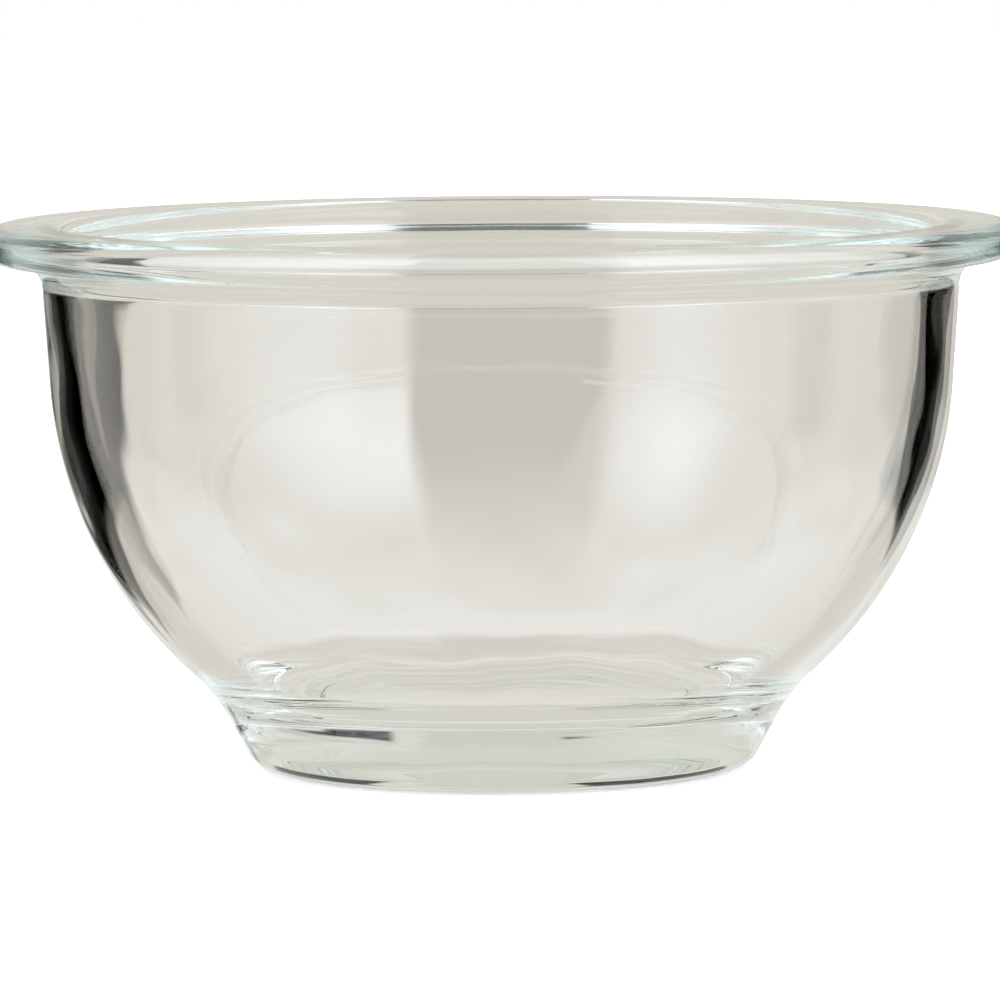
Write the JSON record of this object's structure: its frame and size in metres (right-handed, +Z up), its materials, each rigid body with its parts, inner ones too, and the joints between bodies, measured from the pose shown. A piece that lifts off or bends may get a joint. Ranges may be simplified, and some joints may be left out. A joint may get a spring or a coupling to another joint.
{
  "type": "glass mixing bowl",
  "caption": "Clear pressed-glass mixing bowl with a wide flat rim, a round lower body and a thick solid foot, for mixing or holding food and liquids.",
  "frame": {"origin": "centre of the resting ring, on the table", "axes": "+Z up along the bowl's axis, towards its mouth; X and Y are level and interchangeable"},
  "size_m": [0.17, 0.17, 0.09],
  "materials": {
    "glass": "clear, fire-polished, faint green in thick places"
  },
  "bodies": {
    "root": {"bowl": "glass"}
  },
  "joints": []
}
